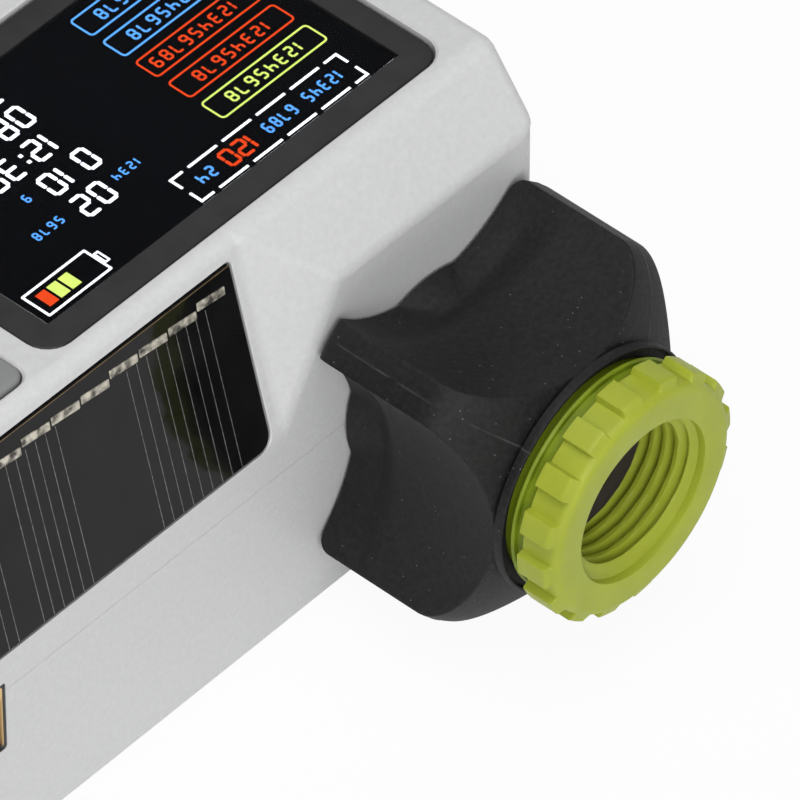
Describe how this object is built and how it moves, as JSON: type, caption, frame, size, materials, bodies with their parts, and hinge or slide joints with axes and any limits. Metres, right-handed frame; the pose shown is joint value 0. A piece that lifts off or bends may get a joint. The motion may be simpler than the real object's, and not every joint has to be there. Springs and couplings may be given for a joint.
{
  "type": "drip irrigation timer",
  "caption": "Boxy tap timer with a display, key pads, a sloping solar panel, a winged swivel inlet nut with thread adapter, and a motor-driven ball valve to a threaded hose outlet.",
  "frame": {"origin": "under the middle of the whole object, on the plane of its back face", "axes": "+Z out of the display, +Y along the water line towards the tap inlet, +X along the display's long side towards the keys"},
  "size_m": [0.116, 0.124, 0.0601],
  "materials": {
    "shell_grey": "fine satin moulding",
    "nut_black": "matte moulding",
    "adapter_green": "satin moulding",
    "bezel_black": "satin",
    "screen_lens": "polished clear sheet",
    "lcd_dark": "dark display",
    "key_grey": "satin",
    "solar_black": "glossy resin over cells",
    "board_green": "solder mask",
    "steel": "plated",
    "brass": "bare",
    "rubber": "matte",
    "valve_white": "moulded",
    "gear_cream": "moulded",
    "cell_blue": "shrink sleeve",
    "switch_black": "moulded",
    "lead_red": "insulated wire"
  },
  "bodies": {
    "housing": {"front_housing": "shell_grey", "rear_housing": "shell_grey", "housing_seal_left": "rubber", "housing_seal_right": "rubber", "housing_screw_1": "steel", "housing_screw_2": "steel", "housing_screw_3": "steel", "housing_screw_4": "steel", "display_bezel": "bezel_black", "screen_lens": "screen_lens", "lcd_module": "lcd_dark", "key_switch_1": "switch_black", "key_switch_2": "switch_black", "key_switch_3": "switch_black", "key_switch_4": "switch_black", "main_board": "board_green", "board_screw_1": "steel", "board_screw_2": "steel", "board_screw_3": "steel", "board_screw_4": "steel", "solar_panel": "solar_black", "solar_lead": "lead_red", "charging_socket": "brass", "battery_holder": "switch_black", "battery_cell": "cell_blue", "battery_contact_minus": "steel", "battery_contact_plus": "steel", "battery_lead": "lead_red", "valve_body": "valve_white", "stem_seal": "rubber", "ball_seat_inlet": "valve_white", "ball_seat_outlet": "valve_white", "outlet_spigot": "nut_black", "outlet_seal": "rubber", "inlet_spigot": "valve_white", "inlet_filter": "switch_black", "gear_plate": "steel", "plate_screw_1": "steel", "plate_screw_2": "steel", "plate_screw_3": "steel", "drive_motor": "steel", "gear_axle": "steel", "motor_lead": "lead_red"},
    "inlet_nut": {"swivel_nut": "nut_black"},
    "washer": {"adapter_washer": "rubber"},
    "adapter": {"thread_adapter": "adapter_green", "tap_washer": "rubber"},
    "key_cap_1": {"key_1": "key_grey", "switch_plunger_1": "rubber"},
    "key_cap_2": {"key_2": "key_grey", "switch_plunger_2": "rubber"},
    "key_cap_3": {"key_3": "key_grey", "switch_plunger_3": "rubber"},
    "key_cap_4": {"key_4": "key_grey", "switch_plunger_4": "rubber"},
    "valve_core": {"valve_ball": "steel", "valve_stem": "steel", "output_gear": "gear_cream"},
    "reduction_gear": {"compound_gear": "gear_cream"},
    "motor_rotor": {"motor_pinion": "brass"}
  },
  "joints": [
    {"name": "nut_swivel", "type": "hinge", "parent": "housing", "child": "inlet_nut", "pos_m": [-0.0374, 0.0285, 0.0255], "axis": [0, 1, 0], "continuous": true},
    {"name": "washer_travel", "type": "slide", "parent": "inlet_nut", "child": "washer", "axis": [0, 1, 0], "range_m": [0, 0.01088]},
    {"name": "adapter_unscrew", "type": "hinge", "parent": "washer", "child": "adapter", "pos_m": [-0.0374, 0.062, 0.0255], "axis": [0, 1, 0], "range_deg": [0, 2160]},
    {"name": "key_1_press", "type": "slide", "parent": "housing", "child": "key_cap_1", "axis": [0, 0, -1], "range_m": [0, 0.0008], "stiffness_N_per_m": 800},
    {"name": "key_2_press", "type": "slide", "parent": "housing", "child": "key_cap_2", "axis": [0, 0, -1], "range_m": [0, 0.0008], "stiffness_N_per_m": 800},
    {"name": "key_3_press", "type": "slide", "parent": "housing", "child": "key_cap_3", "axis": [0, 0, -1], "range_m": [0, 0.0008], "stiffness_N_per_m": 800},
    {"name": "key_4_press", "type": "slide", "parent": "housing", "child": "key_cap_4", "axis": [0, 0, -1], "range_m": [0, 0.0008], "stiffness_N_per_m": 800},
    {"name": "valve_turn", "type": "hinge", "parent": "housing", "child": "valve_core", "pos_m": [-0.0374, -0.008, 0.0255], "axis": [0, 0, 1], "range_deg": [0, 90]},
    {"name": "reduction_spin", "type": "hinge", "parent": "housing", "child": "reduction_gear", "pos_m": [-0.0197, -0.008, 0.0255], "axis": [0, 0, 1], "range_deg": [-240.1, 0]},
    {"name": "motor_spin", "type": "hinge", "parent": "housing", "child": "motor_rotor", "pos_m": [-0.004, -0.008, 0.0255], "axis": [0, 0, 1], "range_deg": [0, 800.1]}
  ],
  "couplings": [
    {"joint": "adapter_unscrew", "follows": "washer_travel", "rad_per_m": 3463.7},
    {"joint": "reduction_spin", "follows": "valve_turn", "ratio": -2.6667},
    {"joint": "motor_spin", "follows": "valve_turn", "ratio": 8.8889}
  ]
}
